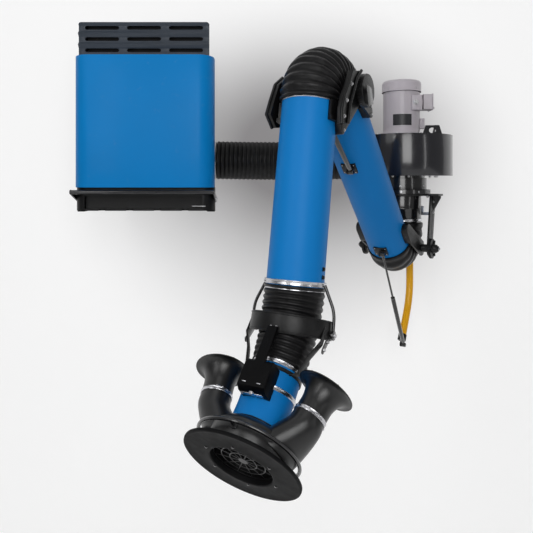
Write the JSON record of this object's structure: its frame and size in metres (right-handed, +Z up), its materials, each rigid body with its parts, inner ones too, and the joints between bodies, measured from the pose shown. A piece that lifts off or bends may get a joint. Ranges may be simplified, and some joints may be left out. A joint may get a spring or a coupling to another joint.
{
  "type": "wall-mounted welding fume extractor",
  "caption": "Wall-mounted welding fume extractor: filter cabinet, ribbed hose, blower with motor, and a sprung articulated suction arm with a push-pull hood.",
  "frame": {"origin": "centre of the back face of the blower's wall plate", "axes": "+Z up, +Y into the wall, +X to the right as seen from the room"},
  "size_m": [1.9173, 1.7967, 1.7446],
  "materials": {
    "filter_wall_rail": "bare metal",
    "filter_cabinet": "satin black paint",
    "front_cover": "satin powder coat",
    "louver_grille": "dark grey paint",
    "filter_cartridge": "pleated filter medium",
    "cabinet_base": "moulded",
    "filter_inlet_collar": "bare metal",
    "wall_hose": "ribbed",
    "wall_bracket": "satin black paint",
    "scroll_housing": "satin black paint",
    "motor_plate": "satin black paint",
    "motor_frame": "light grey paint",
    "motor_cowl": "light grey paint",
    "conduit_box": "light grey paint",
    "inlet_collar": "satin black paint",
    "bail_handle": "satin black paint",
    "motor_shaft": "bare metal",
    "impeller": "bare metal",
    "cooling_fan": "moulded",
    "swivel_duct": "satin black paint",
    "duct_clamp": "bare metal",
    "swivel_frame": "satin black paint",
    "balance_lever": "gloss paint",
    "lever_cap": "moulded",
    "shoulder_knob_right": "moulded",
    "shoulder_knob_left": "moulded",
    "shoulder_hose": "ribbed",
    "inner_tube": "gloss powder coat",
    "shoulder_plate_right": "moulded",
    "shoulder_plate_left": "moulded",
    "elbow_plate_right": "moulded",
    "elbow_plate_left": "moulded",
    "shoulder_strut_bracket": "satin black paint",
    "elbow_strut_bracket": "satin black paint",
    "elbow_hose": "ribbed",
    "shoulder_strut_cylinder": "satin black paint",
    "shoulder_strut_rod": "satin black paint",
    "elbow_strut_cylinder": "satin black paint",
    "elbow_strut_rod": "satin black paint",
    "outer_tube": "gloss powder coat",
    "elbow_clamp": "bare metal",
    "forearm_plate_right": "moulded",
    "forearm_plate_left": "moulded",
    "forearm_strut_bracket": "satin black paint",
    "wrist_clamp": "bare metal",
    "wrist_ring": "satin black paint",
    "wrist_hose": "ribbed",
    "wrist_yoke": "satin black paint",
    "hood_tube": "gloss powder coat",
    "hood_clamp": "bare metal",
    "hood_band": "bare metal",
    "hood_motor_box": "satin black paint",
    "hood_plenum": "moulded",
    "flange_disc": "satin black paint",
    "hood_guard": "moulded",
    "handle_ring": "satin black paint",
    "ear_bell_right": "moulded",
    "ear_bell_left": "moulded",
    "ear_fan_right": "moulded",
    "ear_fan_left": "moulded"
  },
  "bodies": {
    "wall_unit": {"filter_wall_rail": "filter_wall_rail", "filter_cabinet": "filter_cabinet", "front_cover": "front_cover", "louver_grille": "louver_grille", "filter_cartridge": "filter_cartridge", "cabinet_base": "cabinet_base", "filter_inlet_collar": "filter_inlet_collar", "wall_hose": "wall_hose", "wall_bracket": "wall_bracket", "scroll_housing": "scroll_housing", "motor_plate": "motor_plate", "motor_frame": "motor_frame", "motor_cowl": "motor_cowl", "conduit_box": "conduit_box", "inlet_collar": "inlet_collar"},
    "bail": {"bail_handle": "bail_handle"},
    "fan_rotor": {"motor_shaft": "motor_shaft", "impeller": "impeller", "cooling_fan": "cooling_fan"},
    "turntable": {"swivel_duct": "swivel_duct", "duct_clamp": "duct_clamp", "swivel_frame": "swivel_frame", "balance_lever": "balance_lever", "lever_cap": "lever_cap", "shoulder_knob_right": "shoulder_knob_right", "shoulder_knob_left": "shoulder_knob_left", "shoulder_hose": "shoulder_hose"},
    "inner_arm": {"inner_tube": "inner_tube", "shoulder_plate_right": "shoulder_plate_right", "shoulder_plate_left": "shoulder_plate_left", "elbow_plate_right": "elbow_plate_right", "elbow_plate_left": "elbow_plate_left", "shoulder_strut_bracket": "shoulder_strut_bracket", "elbow_strut_bracket": "elbow_strut_bracket", "elbow_hose": "elbow_hose"},
    "shoulder_spring": {"shoulder_strut_cylinder": "shoulder_strut_cylinder"},
    "shoulder_spring_rod": {"shoulder_strut_rod": "shoulder_strut_rod"},
    "elbow_spring": {"elbow_strut_cylinder": "elbow_strut_cylinder"},
    "elbow_spring_rod": {"elbow_strut_rod": "elbow_strut_rod"},
    "outer_arm": {"outer_tube": "outer_tube", "elbow_clamp": "elbow_clamp", "forearm_plate_right": "forearm_plate_right", "forearm_plate_left": "forearm_plate_left", "forearm_strut_bracket": "forearm_strut_bracket", "wrist_clamp": "wrist_clamp"},
    "wrist": {"wrist_ring": "wrist_ring", "wrist_hose": "wrist_hose"},
    "hood": {"wrist_yoke": "wrist_yoke", "hood_tube": "hood_tube", "hood_clamp": "hood_clamp", "hood_band": "hood_band", "hood_motor_box": "hood_motor_box", "hood_plenum": "hood_plenum", "flange_disc": "flange_disc", "hood_guard": "hood_guard", "handle_ring": "handle_ring", "ear_bell_right": "ear_bell_right", "ear_bell_left": "ear_bell_left"},
    "ear_rotor_right": {"ear_fan_right": "ear_fan_right"},
    "ear_rotor_left": {"ear_fan_left": "ear_fan_left"}
  },
  "joints": [
    {"name": "bail_swing", "type": "hinge", "parent": "wall_unit", "child": "bail", "pos_m": [-1.308, -0.5, -0.095], "axis": [1, 0, 0], "range_deg": [0, 95]},
    {"name": "fan_spin", "type": "hinge", "parent": "wall_unit", "child": "fan_rotor", "pos_m": [0, -0.33, 0.3], "axis": [0, 0, 1], "continuous": true},
    {"name": "arm_swivel", "type": "hinge", "parent": "wall_unit", "child": "turntable", "pos_m": [0, -0.33, -0.05], "axis": [0, 0, 1], "range_deg": [-15, 100]},
    {"name": "shoulder_tilt", "type": "hinge", "parent": "turntable", "child": "inner_arm", "pos_m": [-0.03117, -0.38127, -0.345], "axis": [-0.8545, 0.5195, 0], "range_deg": [-36, 8], "deforming": ["shoulder_hose"]},
    {"name": "elbow_tilt", "type": "hinge", "parent": "inner_arm", "child": "outer_arm", "pos_m": [-0.45978, -1.08621, 0.33997], "axis": [-0.8545, 0.5195, 0], "range_deg": [-6, 80], "deforming": ["elbow_hose"]},
    {"name": "shoulder_spring_swing", "type": "hinge", "parent": "turntable", "child": "shoulder_spring", "pos_m": [0.0079, -0.34588, -0.86573], "axis": [-0.8545, 0.5195, 0], "range_deg": [-5.86, 1.38]},
    {"name": "shoulder_spring_slide", "type": "slide", "parent": "shoulder_spring", "child": "shoulder_spring_rod", "axis": [-0.2759, -0.4538, 0.8473], "range_m": [-0.1581, 0.0359]},
    {"name": "elbow_spring_swing", "type": "hinge", "parent": "inner_arm", "child": "elbow_spring", "pos_m": [-0.35853, -0.94855, 0.03375], "axis": [-0.8545, 0.5195, 0], "range_deg": [-0.76, 8.9]},
    {"name": "elbow_spring_slide", "type": "slide", "parent": "elbow_spring", "child": "elbow_spring_rod", "axis": [-0.404, -0.6644, 0.6288], "range_m": [-0.013, 0.1616]},
    {"name": "wrist_swivel", "type": "hinge", "parent": "outer_arm", "child": "wrist", "pos_m": [-0.62727, -1.36167, -0.51623], "axis": [-0.0902, -0.1484, -0.9848], "range_deg": [-60, 60], "deforming": ["wrist_hose"]},
    {"name": "hood_tilt", "type": "hinge", "parent": "wrist", "child": "hood", "pos_m": [-0.62727, -1.36167, -0.51623], "axis": [-0.8881, 0.4596, 0.0121], "range_deg": [-44, 15], "deforming": ["wrist_hose"]},
    {"name": "ear_fan_spin_right", "type": "hinge", "parent": "hood", "child": "ear_rotor_right", "pos_m": [-0.56623, -1.61123, -0.68335], "axis": [-0.5566, -0.5703, -0.6041], "continuous": true},
    {"name": "ear_fan_spin_left", "type": "hinge", "parent": "hood", "child": "ear_rotor_left", "pos_m": [-0.8698, -1.45414, -0.67921], "axis": [-0.1571, -0.777, -0.6096], "continuous": true}
  ],
  "couplings": [
    {"joint": "shoulder_spring_swing", "follows": "shoulder_tilt", "ratio": 0.16},
    {"joint": "shoulder_spring_slide", "follows": "shoulder_tilt", "m_per_rad": 0.25},
    {"joint": "elbow_spring_swing", "follows": "elbow_tilt", "ratio": 0.11},
    {"joint": "elbow_spring_slide", "follows": "elbow_tilt", "m_per_rad": 0.115}
  ]
}
